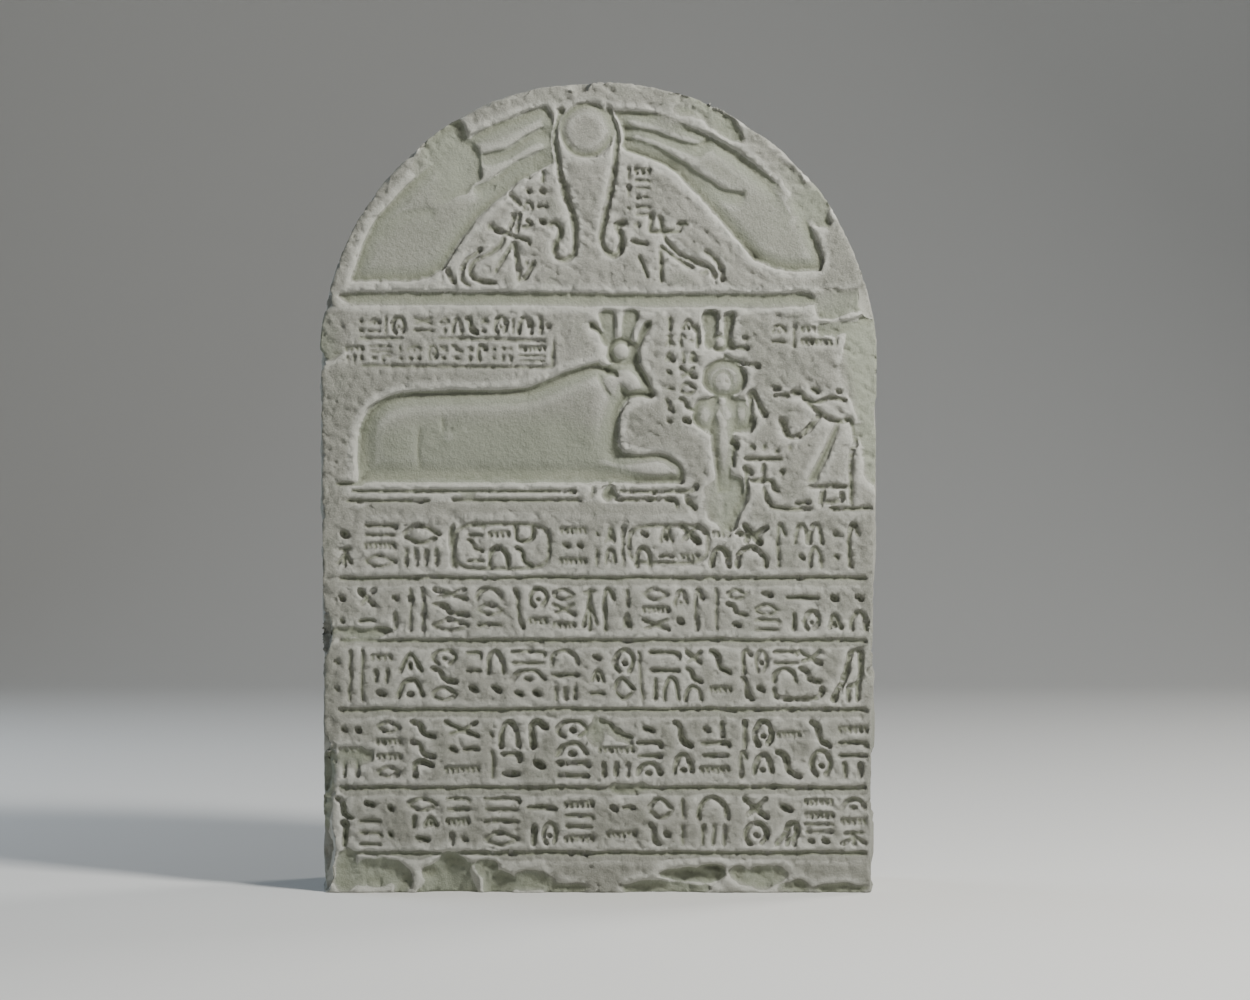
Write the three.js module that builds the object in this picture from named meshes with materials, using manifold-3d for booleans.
// A round-topped stone stele, cut from one slab and carved on its front in sunk relief: a winged sun disk
// in the arch, a scene with a resting bull, a standing god, an offering table and a bowing figure, and five
// ruled rows of short chisel strokes. Its edges are chipped and its foot is broken away.
// Millimetres. +Z is up, the carved front faces -Y, and the origin is under the middle of the base.
import * as THREE from "three";
import { mergeVertices } from "three/addons/utils/BufferGeometryUtils.js";
import Module from "manifold-3d";

const wasm = await Module();
wasm.setup();
const { Manifold } = wasm;

// The slab.
const HEIGHT = 655; // overall, to the crown of the arch
const FRONT_WIDTH = 446; // across the carved face, where the arch springs
const SIDE_TAPER = 4; // each side draws in this much towards the foot
const THICKNESS = 115;
const SIDE_SPLAY = 5; // how far the rough sides stand out behind the front edge
const EDGE_WEAR = 3; // the rounding of the front edge
const BACK_WEAR = 9; // the rougher rounding of the back edge
const BACK_BULGE = 4; // the hewn back swells in the middle

// The carving: how deep each kind of cut goes at its edge, how much its floor swells up again towards the
// middle, and how wide the lines are.
const BULL_DEPTH = 7;
const BULL_SWELL = 5;
const WING_DEPTH = 5;
const WING_SWELL = 3;
const FEATHER_STEP = 2; // a feather line goes this much deeper than the wing around it
const DISK_DEPTH = 5;
const DISK_SWELL = 4.4;
const GOD_DEPTH = 5.5;
const GOD_SWELL = 3.5;
const CROWN_DEPTH = 4;
const SKY_DEPTH = 3.5;
const RULE_WIDTH = 4.6;
const RULE_DEPTH = 3;
const RULE_MARGIN = 9; // the rules stop this far short of the face's side edges
const LINE_WIDTH = 4;
const LINE_DEPTH = 3;
const STROKE_WIDTH = 4;
const STROKE_DEPTH = 2.6;
const PECK = 9; // a cut shorter than this many times its width is a single peck of the chisel

// The face is set out on a grid of squares: u counts columns to the right of the middle line, and v counts
// rows up from the foot, so that the carving follows the face's width and height.
const GRID_COLUMNS = 558;
const GRID_ROWS = 813;
const COLUMN = FRONT_WIDTH / GRID_COLUMNS;
const ROW = (HEIGHT - SIDE_SPLAY) / GRID_ROWS;

const FRONT_Y = -THICKNESS / 2;
const ARCH_RADIUS = FRONT_WIDTH / 2;
const SPRING_Z = HEIGHT - SIDE_SPLAY - ARCH_RADIUS;
const PROUD = 2; // a cutter stands this far out of the face, so that it cuts cleanly

const stone = new THREE.MeshStandardMaterial({ color: 0xa9a99c, roughness: 0.92, metalness: 0 });

// Solids from closed three.js geometry, and back.
function solidOf(geometry) {
  const bare = geometry.index ? geometry.toNonIndexed() : geometry.clone();
  bare.deleteAttribute("normal");
  bare.deleteAttribute("uv");
  const merged = mergeVertices(bare, 1e-4);
  return new Manifold(
    new wasm.Mesh({
      numProp: 3,
      vertProperties: merged.getAttribute("position").array,
      triVerts: new Uint32Array(merged.index.array),
    }),
  );
}

function geometryOf(solid) {
  const mesh = solid.getMesh();
  const positions = new Float32Array(mesh.numVert * 3);
  for (let i = 0; i < mesh.numVert; i++) {
    const start = i * mesh.numProp;
    positions.set(mesh.vertProperties.subarray(start, start + 3), i * 3);
  }
  const indexed = new THREE.BufferGeometry()
    .setAttribute("position", new THREE.BufferAttribute(positions, 3))
    .setIndex(new THREE.BufferAttribute(mesh.triVerts, 1));
  const flat = indexed.toNonIndexed();
  flat.computeVertexNormals();
  return flat;
}

// A repeatable unevenness between -1 and 1, for hewn and worn surfaces.
function roughness(a, b = 0) {
  const coarse = Math.sin(a * 1.7 + b * 2.3);
  const middling = Math.sin(a * 3.1 - b * 1.1 + 1.9);
  const fine = Math.sin(a * 5.3 + b * 4.7 + 4.1);
  return (coarse + middling + fine) / 3;
}

const smooth = (t) => {
  const s = THREE.MathUtils.clamp(t, 0, 1);
  return s * s * (3 - 2 * s);
};

// Half the width of the front at a height: tapered sides under a round arch.
function halfWidthAt(z) {
  if (z > SPRING_Z) return Math.sqrt(Math.max(0, ARCH_RADIUS ** 2 - (z - SPRING_Z) ** 2));
  return ARCH_RADIUS - SIDE_TAPER * (1 - z / SPRING_Z);
}

// The slab's outline, anticlockwise from its lower left corner, as points with outward normals.
function slabOutline() {
  const footSteps = 10;
  const sideSteps = 9;
  const archSteps = 34;
  const points = [];
  const add = (x, z, nx, nz) => points.push({ x, z, nx, nz });
  for (let i = 0; i < footSteps; i++) {
    add(halfWidthAt(0) * ((2 * i) / footSteps - 1), 0, i ? 0 : -0.7, -1);
  }
  for (let i = 0; i < sideSteps; i++) {
    const z = (SPRING_Z * i) / sideSteps;
    add(halfWidthAt(z), z, i ? 1 : 0.7, i ? 0 : -1);
  }
  for (let i = 0; i <= archSteps; i++) {
    const [c, s] = [Math.cos((Math.PI * i) / archSteps), Math.sin((Math.PI * i) / archSteps)];
    add(ARCH_RADIUS * c, SPRING_Z + ARCH_RADIUS * s, c, s);
  }
  for (let i = sideSteps - 1; i > 0; i--) {
    const z = (SPRING_Z * i) / sideSteps;
    add(-halfWidthAt(z), z, -1, 0);
  }
  return points;
}

// The rough slab: rings of the outline from front to back, each let in or out, closed by a flat front and a
// swelling back. The underside stays level, so that the slab stands on it.
function slab() {
  const outline = slabOutline();
  const rings = [
    { y: FRONT_Y, out: -EDGE_WEAR, rough: 0 },
    { y: FRONT_Y + EDGE_WEAR, out: 0, rough: 0.6 },
    { y: FRONT_Y + THICKNESS * 0.4, out: SIDE_SPLAY, rough: 1.6 },
    { y: FRONT_Y + THICKNESS - BACK_WEAR, out: SIDE_SPLAY * 0.6, rough: 2 },
    { y: FRONT_Y + THICKNESS - BACK_BULGE, out: -BACK_WEAR, rough: 0.8 },
  ];
  const count = outline.length;
  const positions = [];
  const index = [];
  rings.forEach((ring, k) => {
    outline.forEach((point, i) => {
      const out = ring.out + ring.rough * roughness(i * 0.9, k * 1.3);
      const z = point.nz < -0.5 ? Math.max(0, -ring.out) : point.z + point.nz * out;
      positions.push(point.x + point.nx * out, ring.y, Math.max(0, z));
    });
  });
  for (let k = 0; k < rings.length - 1; k++) {
    for (let i = 0; i < count; i++) {
      const a = k * count + i;
      const b = k * count + ((i + 1) % count);
      index.push(a, a + count, b, b, a + count, b + count);
    }
  }
  const front = outline.map((_, i) => new THREE.Vector2(positions[i * 3], positions[i * 3 + 2]));
  for (const [a, b, c] of THREE.ShapeUtils.triangulateShape(front, [])) index.push(a, b, c);
  const back = (rings.length - 1) * count;
  const middle = positions.length / 3;
  positions.push(0, FRONT_Y + THICKNESS, HEIGHT / 2);
  for (let i = 0; i < count; i++) index.push(back + i, middle, back + ((i + 1) % count));
  return solidOf(
    new THREE.BufferGeometry()
      .setAttribute("position", new THREE.Float32BufferAttribute(positions, 3))
      .setIndex(index),
  );
}

// Drawing on the face. An outline is a list of runs. Each run is one smooth curve through its [u, v] points,
// and the outline has a corner where two runs meet.
const flat = ([u, v]) => new THREE.Vector2(u * COLUMN, v * ROW);

function traced(runs, stepsPerSpan = 2) {
  return runs.flatMap((run) => {
    const spline = new THREE.SplineCurve(run.map(([u, v]) => new THREE.Vector2(u, v)));
    return spline
      .getPoints((run.length - 1) * stepsPerSpan)
      .slice(0, -1)
      .map((p) => [p.x, p.y]);
  });
}

function ellipse(u, v, ru, rv, count = 20) {
  return Array.from({ length: count }, (_, i) => {
    const angle = (2 * Math.PI * i) / count;
    return [u + ru * Math.cos(angle), v + rv * Math.sin(angle)];
  });
}

// How far inside an outline a point lies, in grid squares, and 0 for a point outside it.
function insideBy(u, v, outline) {
  let inside = false;
  let nearest = Infinity;
  for (let i = 0, j = outline.length - 1; i < outline.length; j = i++) {
    const [au, av] = outline[i];
    const [bu, bv] = outline[j];
    if (av > v !== bv > v && u < ((bu - au) * (v - av)) / (bv - av) + au) inside = !inside;
    const length2 = (bu - au) ** 2 + (bv - av) ** 2 || 1;
    const t = THREE.MathUtils.clamp(((u - au) * (bu - au) + (v - av) * (bv - av)) / length2, 0, 1);
    nearest = Math.min(nearest, Math.hypot(u - au - t * (bu - au), v - av - t * (bv - av)));
  }
  return inside ? nearest : 0;
}

// The walls of a sunk shape: a straight-sided block of its outline.
function prism(outline, depth) {
  const shape = new THREE.Shape(outline.map(flat));
  const block = new THREE.ExtrudeGeometry(shape, { depth: depth + PROUD, bevelEnabled: false });
  return solidOf(block.rotateX(Math.PI / 2).translate(0, FRONT_Y + depth, 0));
}

// A sunk shape with a modelled floor: depthAt(u, v) is the floor's depth in millimetres, taken every `step`
// grid squares.
function sunk(outline, depthAt, step) {
  const us = outline.map((p) => p[0]);
  const vs = outline.map((p) => p[1]);
  const [u0, u1] = [Math.min(...us) - 1, Math.max(...us) + 1];
  const [v0, v1] = [Math.min(...vs) - 1, Math.max(...vs) + 1];
  const across = Math.max(1, Math.round((u1 - u0) / step));
  const up = Math.max(1, Math.round((v1 - v0) / step));
  const floor = new THREE.BoxGeometry(u1 - u0, 1, v1 - v0, across, 1, up);
  floor.translate((u0 + u1) / 2, 0, (v0 + v1) / 2);
  const position = floor.getAttribute("position");
  let deepest = 0;
  for (let i = 0; i < position.count; i++) {
    const [u, v] = [position.getX(i), position.getZ(i)];
    const depth = position.getY(i) > 0 ? Math.max(0.3, depthAt(u, v)) : -2 * PROUD;
    deepest = Math.max(deepest, depth);
    position.setXYZ(i, u * COLUMN, FRONT_Y + depth, v * ROW);
  }
  return solidOf(floor).intersect(prism(outline, deepest + 1));
}

// Sunk relief as the figures have it: the floor is deepest along the outline and swells up towards the
// middle over the width of a shoulder. Rounded forms stand on it, each { at, radii, rise }.
function sunkRelief(outline, { depth, swell, shoulder, step, forms = [] }) {
  const depthAt = (u, v) => {
    let floor = depth - swell * smooth(insideBy(u, v, outline) / shoulder);
    for (const { at, radii, rise } of forms) {
      floor -= rise * smooth(1.2 - Math.hypot((u - at[0]) / radii[0], (v - at[1]) / radii[1]));
    }
    return floor;
  };
  return sunk(outline, depthAt, step);
}

// A chisel cut along a path: V-shaped, and pointed at both ends unless it closes on itself. A short one is
// a single peck of the chisel, deepest in its middle.
function chiselCut(path, width = STROKE_WIDTH, depth = STROKE_DEPTH, closed = false) {
  const points = path.map(flat);
  const last = points.length - 1;
  const drawIn = (end, next) => {
    return end.clone().lerp(next, Math.min(0.35, (0.8 * width) / end.distanceTo(next)));
  };
  let keel = points;
  if (!closed && last < 3 && points[0].distanceTo(points[last]) < PECK * width) {
    keel = last === 2 ? [points[1]] : [points[0].clone().lerp(points[1], 0.5)];
  } else if (!closed) {
    keel = [drawIn(points[0], points[1]), ...points.slice(1, last), drawIn(points[last], points[last - 1])];
  }
  const count = keel.length;
  const lip = PROUD / 2;
  const half = (width / 2) * (1 + lip / depth);
  const positions = [];
  keel.forEach((p, i) => {
    const before = closed ? keel[(i + count - 1) % count] : (keel[i - 1] ?? points[0]);
    const after = closed ? keel[(i + 1) % count] : (keel[i + 1] ?? points[last]);
    const along = after.clone().sub(before).normalize();
    for (const side of [half, -half]) {
      positions.push(p.x - side * along.y, FRONT_Y - lip, p.y + side * along.x);
    }
    positions.push(p.x, FRONT_Y + depth, p.y);
  });
  const index = [];
  for (let i = 0; i < (closed ? count : count - 1); i++) {
    const a = i * 3;
    const b = ((i + 1) % count) * 3;
    index.push(a, b, a + 2, a + 2, b, b + 2);
    index.push(a + 1, a + 2, b + 1, b + 1, a + 2, b + 2);
    index.push(a, a + 1, b, b, a + 1, b + 1);
  }
  if (!closed) {
    const start = positions.length / 3;
    const end = (count - 1) * 3;
    positions.push(points[0].x, FRONT_Y - lip, points[0].y, points[last].x, FRONT_Y - lip, points[last].y);
    index.push(start, 0, 2, start, 2, 1, start, 1, 0);
    index.push(start + 1, end + 2, end, start + 1, end + 1, end + 2, start + 1, end, end + 1);
  }
  return solidOf(
    new THREE.BufferGeometry()
      .setAttribute("position", new THREE.Float32BufferAttribute(positions, 3))
      .setIndex(index),
  );
}

const line = (path) => chiselCut(path, LINE_WIDTH, LINE_DEPTH);

// Damage. A scoop is a lumpy hollow, with its middle on the face or off the slab's edge. A flake is a shallow
// sheet broken away, deeper towards one side.
function scoop({ at, radii, deep, lumps = 0.12, detail = 0, y = 0 }) {
  const ball = new THREE.IcosahedronGeometry(1, detail);
  const position = ball.getAttribute("position");
  const middle = flat(at);
  for (let i = 0; i < position.count; i++) {
    const p = new THREE.Vector3().fromBufferAttribute(position, i);
    const size = 1 + lumps * roughness(p.x * 3 + at[0], p.z * 3 + at[1] + p.y * 2);
    position.setXYZ(
      i,
      middle.x + p.x * size * radii[0] * COLUMN,
      FRONT_Y + y + p.y * size * deep,
      middle.y + p.z * size * radii[1] * ROW,
    );
  }
  return solidOf(ball);
}

function flake(outline, { deep, from, to, lumps = 0.5, step = 20 }) {
  const [du, dv] = [to[0] - from[0], to[1] - from[1]];
  return sunk(
    outline,
    (u, v) => {
      const t = ((u - from[0]) * du + (v - from[1]) * dv) / (du * du + dv * dv);
      return THREE.MathUtils.clamp(t, 0, 1.3) * deep + lumps * roughness(u / 9, v / 11);
    },
    step,
  );
}

// The winged disk: a pillow-shaped disk in a ring, a snake hanging on each side of it, and two wings in
// stepped rows of feathers. The left wing has lost its shoulder.
const DISK = [-11.5, 763];
const DISK_RADIUS = 29;
const SNAKES = [
  [[-36, 785], [-43, 762], [-42, 741], [-35, 706], [-25, 676], [-24, 638]],
  [[-50, 668], [-39, 668], [-36, 660], [-42, 650], [-44, 641], [-35, 634], [-25, 638]],
  [[10, 786], [18, 764], [18, 741], [15, 720], [11, 698], [5, 669], [3, 654], [8, 643], [16, 638], [24, 647],
    [22, 659]],
];
const LEFT_WING = [
  [[-249, 611], [-178, 613], [-155, 624]],
  [[-155, 624], [-151, 630], [-122, 672], [-88, 703], [-73, 715], [-43, 731]],
  [[-43, 731], [-46, 752], [-44, 772], [-52, 789]],
  [[-52, 789], [-67, 784], [-108, 768], [-131, 756]],
  [[-131, 756], [-158, 738], [-192, 709]],
  [[-192, 709], [-210, 690], [-231, 662], [-249, 611]],
];
const LEFT_FEATHERS = [
  [[-114, 741], [-94, 743], [-73, 756], [-49, 767]],
  [[-122, 709], [-104, 715], [-82, 731], [-50, 745]],
];
const RIGHT_WING = [
  [[15, 784], [49, 782], [72, 778], [88, 770], [113, 758], [137, 745], [155, 731], [174, 716]],
  [[174, 716], [196, 694], [211, 672], [225, 639], [223, 622]],
  [[223, 622], [186, 623], [157, 633]],
  [[157, 633], [125, 670], [90, 709], [68, 727], [43, 737], [22, 744]],
  [[22, 744], [24, 763], [15, 784]],
];
const RIGHT_FEATHERS = [
  [[25, 769], [49, 763], [80, 753], [108, 751]],
  [[25, 756], [53, 747], [74, 739], [96, 725], [125, 705], [147, 699]],
];

function wing(runs, feathers) {
  const outline = traced(runs, 1);
  const field = { depth: WING_DEPTH, swell: WING_SWELL, shoulder: 26, step: 30 };
  const depth = WING_DEPTH - WING_SWELL / 2 + FEATHER_STEP;
  const width = (LINE_WIDTH * depth) / FEATHER_STEP / 1.4;
  return [sunkRelief(outline, field), ...feathers.map((path) => chiselCut(path, width, depth))];
}

function wingedDisk() {
  const disk = ellipse(...DISK, DISK_RADIUS, DISK_RADIUS, 28);
  return [
    sunkRelief(disk, { depth: DISK_DEPTH, swell: DISK_SWELL, shoulder: 14, step: 8 }),
    ...wing(LEFT_WING, LEFT_FEATHERS),
    ...wing(RIGHT_WING, RIGHT_FEATHERS),
    ...SNAKES.map((path) => chiselCut(path, LINE_WIDTH * 1.3, LINE_DEPTH * 1.2)),
  ];
}

// The scene under the sky: the resting bull on its stand, the god behind the table of offerings, and the
// bowing figure whose head is lost in the worn edge.
const SKY = [
  [[-248, 587], [-250, 601], [-90, 602], [60, 600], [214, 601]],
  [[214, 601], [208, 586], [60, 585], [-100, 587], [-248, 587]],
];
const BULL = [
  [[-241, 410], [-242, 450], [-235, 479], [-222, 490], [-206, 499], [-183, 503], [-126, 504], [-78, 506],
    [-59, 511], [-30, 523], [2, 533]],
  [[2, 533], [6, 529], [14, 531], [33, 534], [39, 532]],
  [[39, 532], [48, 516], [58, 497], [52, 494], [42, 495], [31, 494]],
  [[31, 494], [24, 483], [21, 468], [21, 452], [26, 443], [42, 440], [64, 440], [78, 434], [86, 424],
    [87, 410]],
];
const BULL_FORMS = [
  { at: [-205, 450], radii: [34, 46], rise: 1 }, // the haunch
  { at: [30, 507], radii: [14, 17], rise: 1.6 }, // the cheek
  { at: [0, 470], radii: [24, 45], rise: 1 }, // the shoulder
  { at: [42, 425], radii: [42, 12], rise: 1.4 }, // the folded foreleg
];
const BULL_CROWN = [
  [[-1, 580], [13, 584], [16, 580], [17, 552], [10, 549], [4, 563], [-1, 580]],
  [[24, 582], [36, 585], [42, 577], [36, 562], [33, 548], [23, 552], [24, 582]],
  [[23, 554], [36, 549], [38, 541], [39, 530], [24, 530], [11, 532], [10, 543], [13, 551], [23, 554]],
];
const BULL_CROWN_DISK = { at: [23, 542], radii: [10, 10], rise: 3.6 };
const BULL_HORNS = [
  [[-7, 569], [2, 560], [7, 550]],
  [[51, 571], [43, 558], [36, 546]],
];
const BULL_MARKS = [
  [[-178, 462], [-180, 440], [-178, 424]], // the edge of the haunch
  [[-155, 474], [-156, 458]],
  [[6, 524], [12, 521], [17, 516]], // the ear
];
const GOD_CROWN = [
  [[106, 579], [109, 581], [119, 580], [119, 556], [116, 544], [108, 544], [108, 565], [106, 579]],
  [[126, 580], [135, 581], [136, 575], [132, 565], [133, 551], [138, 543], [130, 544], [126, 556],
    [126, 580]],
];
const GOD_CROWN_DISK = [123, 549];
const WIG = [126, 515];
const WIG_RADII = [21.5, 19];
const GOD_HEAD_FORMS = [
  { at: [126, 517], radii: [17, 15], rise: 3 },
  { at: [120, 509], radii: [8, 8], rise: 2.2 },
];
const GOD_BODY = [
  [[111, 494], [101, 492], [95, 481], [95, 471], [104, 463], [114, 458], [116, 440], [120, 418]],
  [[120, 418], [126, 415], [133, 420]],
  [[133, 420], [136, 440], [138, 458], [154, 462], [155, 467], [152, 478], [147, 492], [138, 495]],
  [[138, 495], [128, 490], [120, 490], [111, 494]],
];
const GOD_BODY_FORMS = [
  { at: [116, 480], radii: [11, 12], rise: 1.8 },
  { at: [137, 481], radii: [11, 11], rise: 1.8 },
  { at: [126, 440], radii: [9, 34], rise: 2.6 },
];
const FLAIL = [
  [[151, 503], [160, 492], [169, 477]],
  [[149, 497], [151, 478], [156, 462]],
];
const STAND_LINES = [
  [[-262, 409], [-234, 409]],
  [[-246, 402], [-120, 402], [-22, 401]],
  [[-250, 392], [-186, 392], [-170, 392]],
  [[-146, 393], [-60, 392], [-11, 393]],
  [[12, 407], [16, 393]],
  [[19, 401], [60, 401], [84, 401]],
  [[16, 393], [60, 394], [78, 393], [83, 383]],
  [[80, 409], [98, 408], [97, 401], [89, 398], [91, 386], [99, 383]],
];
const STAND_SHELF = [
  [[-228, 391], [-240, 383], [-232, 377], [-100, 379], [0, 377], [87, 378]],
  [[87, 378], [86, 390], [0, 391], [-228, 391]],
];
const TABLE_LINES = [
  [[146, 434], [186, 433]],
  [[164, 432], [163, 408]],
  [[153, 412], [179, 412]],
  [[164, 406], [170, 394], [176, 384], [212, 384]],
  [[147, 428], [148, 393]],
];
const OFFERINGS = [[154, 446], [167, 445], [179, 442], [193, 445]];
const BOWING_LINES = [
  [[177, 496], [192, 496]],
  [[177, 504], [186, 503]],
  [[193, 501], [206, 501]],
  [[216, 504], [222, 502]],
  [[208, 493], [221, 484], [238, 476], [252, 478], [259, 488]],
  [[183, 474], [188, 460], [194, 454], [208, 462], [221, 479]],
  [[214, 406], [252, 406]],
  [[253, 471], [257, 448], [253, 438], [253, 387]],
  [[227, 404], [222, 387]],
  [[243, 403], [243, 393], [226, 391]],
  [[232, 384], [276, 384]],
];
const KILT_FRONT = [
  [[234, 470], [244, 468], [238, 455], [226, 428], [213, 408]],
  [[213, 408], [207, 411], [222, 440], [234, 470]],
];

function scene() {
  const bull = traced(BULL);
  const crown = { depth: CROWN_DEPTH, swell: 0.6, shoulder: 6, step: 30 };
  const brow = { depth: BULL_DEPTH - 1, swell: 0.6, shoulder: 6, step: 5, forms: [BULL_CROWN_DISK] };
  const godHead = { depth: GOD_DEPTH, swell: 1, shoulder: 8, step: 5.5, forms: GOD_HEAD_FORMS };
  const godBody = { depth: GOD_DEPTH, swell: 1, shoulder: 8, step: 9, forms: GOD_BODY_FORMS };
  return [
    sunk(traced(SKY), (u, v) => SKY_DEPTH * THREE.MathUtils.mapLinear(v, 585, 602, 0.35, 1), 60),
    sunkRelief(bull, { depth: BULL_DEPTH, swell: BULL_SWELL, shoulder: 34, step: 15, forms: BULL_FORMS }),
    sunkRelief(traced(BULL_CROWN.slice(0, 1), 1), crown),
    sunkRelief(traced(BULL_CROWN.slice(1, 2), 1), crown),
    sunkRelief(traced(BULL_CROWN.slice(2)), brow),
    ...BULL_HORNS.map((path) => chiselCut(path, LINE_WIDTH * 1.6, CROWN_DEPTH)),
    ...BULL_MARKS.map((path) => chiselCut(path, LINE_WIDTH, BULL_DEPTH - BULL_SWELL + 2)),
    ...GOD_CROWN.map((run) => sunkRelief(traced([run], 1), crown)),
    chiselCut(ellipse(...GOD_CROWN_DISK, 7.5, 7.5, 10), LINE_WIDTH * 0.8, LINE_DEPTH, true),
    sunkRelief(ellipse(...WIG, ...WIG_RADII, 20), godHead),
    sunkRelief(traced(GOD_BODY), godBody),
    ...FLAIL.map((path) => chiselCut(path, LINE_WIDTH * 1.4, LINE_DEPTH * 1.2)),
    sunk(traced(STAND_SHELF, 1), () => 1.6, 80),
    ...STAND_LINES.map(line),
    ...TABLE_LINES.map(line),
    ...OFFERINGS.map(([u, v]) => chiselCut([[u - 3, v + 2], [u + 3, v - 2]], 5.5, 3.2)),
    sunk(traced(KILT_FRONT, 1), () => 3, 12),
    ...BOWING_LINES.map(line),
  ];
}

// The signs. None is a letter: each is a few chisel strokes drawn in a square one unit wide.
const SIGNS = {
  pit: [[[0.2, 0.7], [0.8, 0.3]]],
  tick: [[[0.5, 1], [0.5, 0]]],
  bar: [[[0, 0.5], [1, 0.5]]],
  bars: [[[0, 0.85], [1, 0.85]], [[0, 0.15], [1, 0.15]]],
  arc: [[[0, 0.2], [0.5, 0.9], [1, 0.2]]],
  bowl: [[[0, 0.9], [0.5, 0.1], [1, 0.9]]],
  post: [[[0.5, 1], [0.45, 0]]],
  hook: [[[0.2, 0], [0.25, 0.8]], [[0.35, 1], [0.95, 0.75]]],
  arch: [[[0, 0], [0.45, 1], [0.9, 0]]],
  bend: [[[0, 1], [0.5, 0.6], [1, 0]]],
  wedge: [[[0, 0.1], [0.9, 0.7]]],
  cross: [[[0, 1], [1, 0.1]], [[0.9, 1], [0.5, 0.6]]],
  branch: [[[0.5, 1], [0.5, 0]], [[0, 0.1], [0.45, 0.6]], [[0.55, 0.6], [1, 0.2]]],
  star: [[[0.1, 1], [0.75, 0]], [[0, 0.4], [0.35, 0.55]], [[0.5, 0.5], [1, 0.8]]],
  ring: [[[0.05, 0.25], [0.5, 1], [0.95, 0.25]], [[0.3, 0], [0.7, 0]]],
  crook: [[[0, 0], [0.55, 0.6], [0.7, 1], [1, 0.95]], [[1, 0.95], [0.9, 0.4], [0.6, 0]]],
};

// The rows of signs. A column is [left, width, signs]. Its storeys are parted by "/", from the top down, and
// a space parts the signs that stand side by side.
const CAPTIONS = [
  {
    foot: 557,
    head: 577,
    columns: [
      [-241, 14, "cross"], [-222, 12, "post"], [-208, 16, "arch"], [-187, 20, "wedge/bar"],
      [-156, 18, "arch"], [-134, 8, "tick"], [-120, 14, "bend"], [-100, 12, "arch"], [-87, 18, "ring"],
      [-66, 18, "tick pit"],
    ],
  },
  {
    foot: 530,
    head: 549,
    columns: [
      [-254, 20, "arch"], [-230, 26, "bars/bar"], [-194, 16, "arc/bar"], [-171, 12, "arch"],
      [-152, 14, "bend"], [-128, 10, "wedge"], [-110, 8, "post"], [-97, 10, "arch"],
      [-80, 28, "bar/bar"],
    ],
  },
  {
    foot: 679,
    head: 721,
    columns: [
      [-62, 14, "bar/pit/bar"],
    ],
  },
  {
    foot: 682,
    head: 724,
    columns: [
      [36, 14, "arc/bar/pit"],
    ],
  },
  {
    foot: 464,
    head: 576,
    columns: [
      [68, 9, "post/bar/pit/tick/bar/pit"], [82, 18, "bend/wedge/cross/bar/arch/bend/pit"],
    ],
  },
  {
    foot: 544,
    head: 570,
    columns: [
      [172, 14, "arc/bar"], [192, 8, "post"], [204, 32, "pit pit/bar"],
    ],
  },
];
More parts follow.
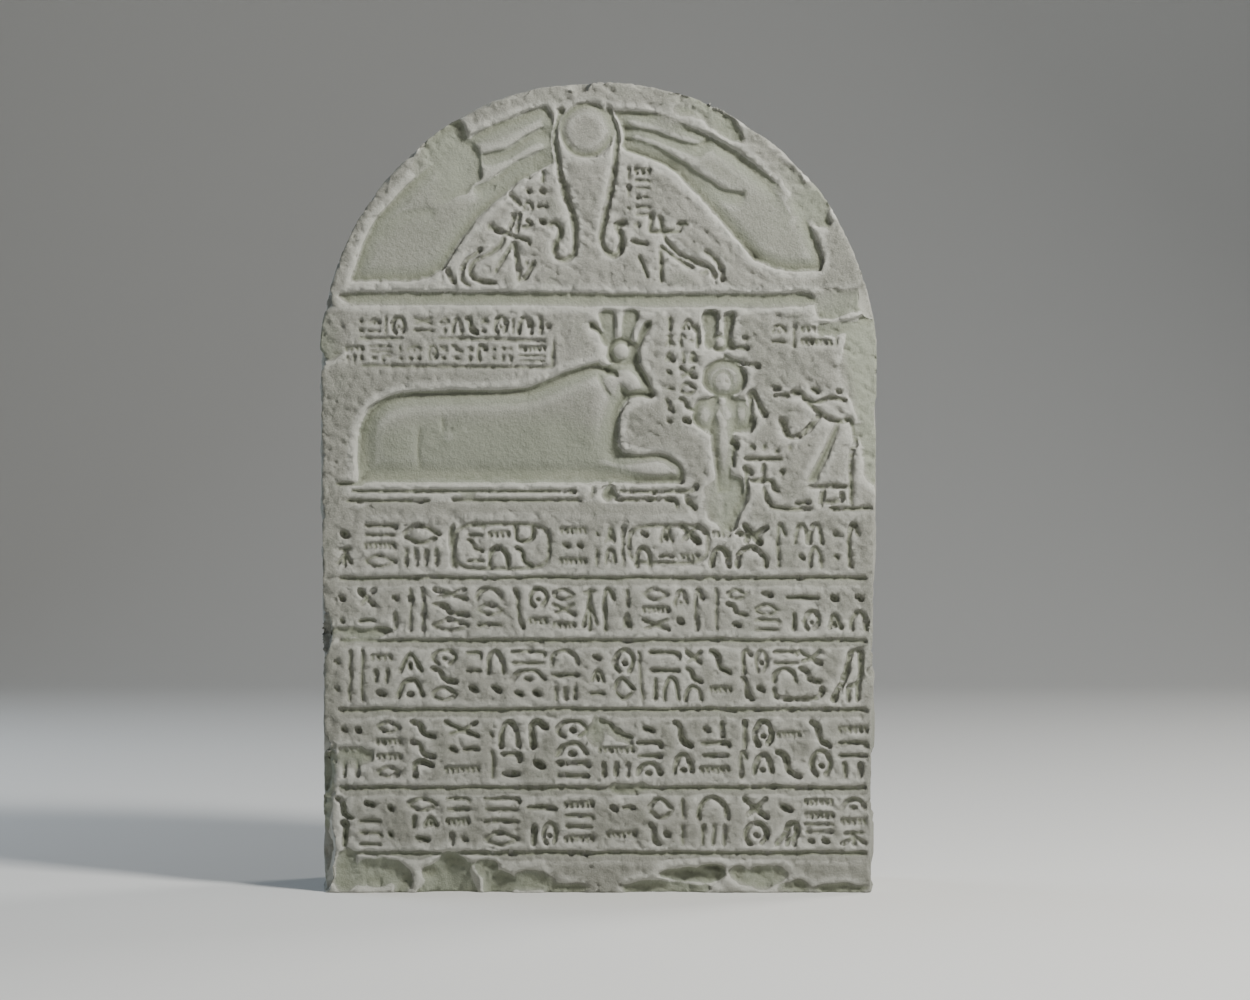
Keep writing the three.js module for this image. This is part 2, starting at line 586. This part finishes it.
const TEXT = [
  {
    foot: 324,
    head: 370,
    columns: [
      [-262, 17, "pit/branch"], [-235, 33, "bars/bar/bar"], [-197, 40, "arc/tick tick tick tick"],
      [-148, 5, "post"], [-132, 18, "bars/wedge/bar"], [-110, 22, "bar/arch"], [-84, 20, "bowl/bend"],
      [-39, 28, "bar/pit pit/bar"], [-5, 8, "pit/tick"], [7, 11, "wedge/arc"], [22, 6, "tick"],
      [38, 16, "pit/arch"], [60, 16, "wedge/bar"], [82, 20, "cross/bar"], [113, 20, "bar/arch"],
      [138, 32, "star/arch"], [178, 11, "hook"], [197, 28, "arch arch/pit arch"], [233, 11, "pit/pit"],
      [249, 14, "hook"],
    ],
  },
  {
    foot: 260,
    head: 306,
    columns: [
      [-262, 11, "pit/pit"], [-240, 18, "cross/bar"], [-210, 14, "pit/tick"], [-191, 6, "post"],
      [-179, 7, "post"], [-166, 37, "cross/bend/arc"], [-122, 28, "arch/bar/bar"], [-85, 12, "bend"],
      [-70, 20, "ring/bar"], [-46, 24, "bar/cross/bar"], [-16, 16, "branch"], [4, 14, "hook"],
      [24, 10, "tick/wedge"], [44, 28, "bar/bar/cross"], [76, 14, "arc/pit"], [96, 10, "hook"],
      [116, 5, "post"], [128, 22, "bar/bend/pit"], [156, 26, "pit/bar/bars"], [188, 34, "bar/tick ring"],
      [229, 16, "pit/wedge"], [253, 17, "pit/arch"],
    ],
  },
  {
    foot: 190,
    head: 244,
    columns: [
      [-266, 10, "pit/pit"], [-252, 7, "post"], [-240, 8, "post"], [-228, 22, "bar/tick tick/pit"],
      [-202, 28, "wedge/arc"], [-168, 28, "ring/bend/arc"], [-133, 17, "bars/pit"],
      [-111, 18, "arch/pit"], [-88, 36, "bars/arc/pit pit"], [-47, 29, "arch/bar/tick tick tick"],
      [-9, 17, "pit/wedge/bar"], [15, 22, "ring/bar"], [39, 8, "bend"], [50, 32, "bars/tick arch"],
      [87, 18, "cross/bend/arch"], [111, 23, "bend/bar"], [143, 27, "hook ring/wedge pit"],
      [175, 50, "bars cross/arch bend/bowl"], [234, 32, "crook"],
    ],
  },
  {
    foot: 113,
    head: 173,
    columns: [
      [-260, 26, "pit pit/bar/tick tick"], [-222, 26, "bar/bar/bar/bar"], [-188, 26, "wedge/bend/hook"],
      [-154, 36, "cross/pit bar/bar"], [-110, 8, "pit/post"], [-98, 20, "arch/bars"],
      [-70, 22, "hook/pit"], [-43, 34, "ring/arc/bars"], [0, 36, "bend/bar/tick tick tick"],
      [38, 26, "pit/bars/arc"], [75, 20, "bend/arc"], [102, 30, "pit tick/bars/bar"],
      [141, 10, "post/hook"], [155, 20, "ring/arc"], [178, 26, "bar/bend"], [212, 22, "wedge/ring"],
      [240, 30, "bar/bars/tick tick"],
    ],
  },
  {
    foot: 45,
    head: 97,
    columns: [
      [-264, 20, "bend/post"], [-240, 24, "pit/bar/bars"], [-214, 12, "pit/pit"],
      [-192, 32, "bar/tick wedge/pit"], [-152, 24, "bars/bar/tick pit"], [-115, 36, "bars/bar/bar"],
      [-72, 32, "bar/tick ring"], [-34, 30, "bar/bars/bar"], [8, 30, "pit bar/bar"],
      [50, 26, "arc/wedge pit"], [80, 10, "tick/tick"], [100, 32, "arch/tick tick tick"],
      [145, 26, "cross/ring"], [177, 24, "pit/crook"], [206, 30, "bar/bar/bars/pit pit"],
      [243, 26, "arc/bar/branch"],
    ],
  },
];
const CARTOUCHES = [
  { from: [-144, 324], to: [-49, 369] },
  { from: [31, 330], to: [110, 367] },
];
const UNDERLINES = [
  [[-240, 555], [-218, 555], [-196, 554]],
  [[-160, 554], [-100, 554], [-53, 552]],
  [[-237, 527], [-150, 526], [-45, 525]],
  [[-44, 552], [-45, 525]],
];
const RULES = [315, 252.5, 183, 105, 39.5];
const RULE_STEPS = 5;

function signRow({ foot, head, columns }) {
  return columns.flatMap(([left, width, stack]) => {
    const storeys = stack.split("/");
    const tall = (head - foot) / storeys.length;
    return storeys.flatMap((storey, k) => {
      const signs = storey.split(" ");
      const wide = width / signs.length;
      const gap = 1.6;
      return signs.flatMap((sign, i) =>
        SIGNS[sign].map((path) =>
          chiselCut(
            path.map(([x, y]) => [
              left + wide * i + gap / 2 + x * (wide - gap),
              head - tall * (k + 1) + gap + y * (tall - 2 * gap),
            ]),
          ),
        ),
      );
    });
  });
}

function cartouche({ from, to }) {
  const middle = [(from[0] + to[0]) / 2, (from[1] + to[1]) / 2];
  const half = [(to[0] - from[0]) / 2, (to[1] - from[1]) / 2];
  const outline = ellipse(0, 0, 1, 1, 14).map(([c, s]) => [
    middle[0] + half[0] * Math.sign(c) * Math.abs(c) ** 0.45,
    middle[1] + half[1] * Math.sign(s) * Math.abs(s) ** 0.55,
  ]);
  return chiselCut(outline, STROKE_WIDTH, STROKE_DEPTH, true);
}

function rule(v) {
  const reach = (halfWidthAt(v * ROW) - RULE_MARGIN) / COLUMN;
  const path = Array.from({ length: RULE_STEPS + 1 }, (_, i) => [
    reach * ((2 * i) / RULE_STEPS - 1),
    v + 1.3 * roughness(i * 0.8, v),
  ]);
  return chiselCut(path, RULE_WIDTH, RULE_DEPTH);
}

function inscription() {
  return [
    ...[...CAPTIONS, ...TEXT].flatMap(signRow),
    ...CARTOUCHES.map(cartouche),
    ...UNDERLINES.map((path) => chiselCut(path)),
    ...RULES.map(rule),
  ];
}

// The wear: what has flaked, worn and broken away since.
const SCOOPS = [
  { at: [-19.5, 813], radii: [6, 13], deep: 40 }, // the notch in the top
  { at: [100, 801], radii: [22, 10], deep: 9 },
  { at: [212, 690], radii: [30, 26], deep: 5 },
  { at: [276, 598], radii: [16, 22], deep: 26, y: 8 },
  { at: [-284, 532], radii: [10, 12], deep: 22, y: 6 },
  { at: [-276, 259], radii: [9, 22], deep: 16 },
  { at: [-277, 125], radii: [12, 34], deep: 14, detail: 1 },
  { at: [-278, 40], radii: [16, 44], deep: 18, detail: 1 },
  { at: [-220, 20], radii: [38, 17], deep: 6, detail: 1 },
  { at: [-148, 8], radii: [32, 32], deep: 12, detail: 1 },
  { at: [-104, 12], radii: [20, 15], deep: 7 },
  { at: [92, 18], radii: [36, 11], deep: 8, detail: 1 },
  { at: [70, 4], radii: [46, 10], deep: 7 },
  { at: [166, 16], radii: [26, 14], deep: 5 },
  { at: [282, 78], radii: [8, 12], deep: 12 },
  { at: [10, 398], radii: [7, 10], deep: 5 },
];
const FLAKES = [
  {
    outline: [[-135, 774], [-127, 756], [-116, 748], [-113, 727], [-114, 711], [-129, 698], [-155, 686],
      [-167, 688], [-184, 707], [-192, 725], [-190, 735], [-168, 760], [-139, 779]],
    deep: 6.5,
    from: [-190, 722],
    to: [-116, 735],
  },
  {
    outline: [[-281, 583], [-248, 581], [-246, 548], [-263, 531], [-290, 531], [-290, 583]],
    deep: 3,
    from: [-240, 560],
    to: [-280, 548],
  },
  {
    outline: [[214, 605], [266, 606], [290, 590], [268, 581], [217, 571]],
    deep: 3,
    from: [214, 612],
    to: [226, 572],
  },
  {
    outline: [[217, 571], [265, 577], [290, 560], [252, 561], [222, 553]],
    deep: 3.5,
    from: [217, 580],
    to: [230, 555],
  },
  {
    outline: [[256, 560], [246, 520], [262, 480], [268, 430], [295, 420], [295, 600], [270, 600]],
    deep: 9,
    from: [246, 520],
    to: [286, 528],
  },
  {
    outline: [[106, 407], [118, 419], [135, 419], [147, 415], [148, 393], [143, 377], [139, 362], [124, 361],
      [111, 373], [105, 388]],
    deep: 5,
    from: [100, 395],
    to: [148, 388],
    step: 15,
  },
  {
    outline: [[-262, 267], [-213, 267], [-206, 262], [-216, 254], [-266, 252], [-275, 262]],
    deep: 3,
    from: [-262, 250],
    to: [-258, 267],
  },
  {
    outline: [[-258, 145], [-224, 144], [-222, 130], [-262, 118], [-266, 138]],
    deep: 3,
    from: [-258, 118],
    to: [-256, 145],
  },
];

function wear() {
  return [...SCOOPS.map(scoop), ...FLAKES.map(({ outline, ...shape }) => flake(outline, shape))];
}

const cuts = Manifold.union([...wingedDisk(), ...scene(), ...inscription(), ...wear()]);
const carved = slab().subtract(cuts);

const stele = new THREE.Group();
const body = new THREE.Mesh(geometryOf(carved), stone);
body.name = "stele";
stele.add(body);

export default stele;
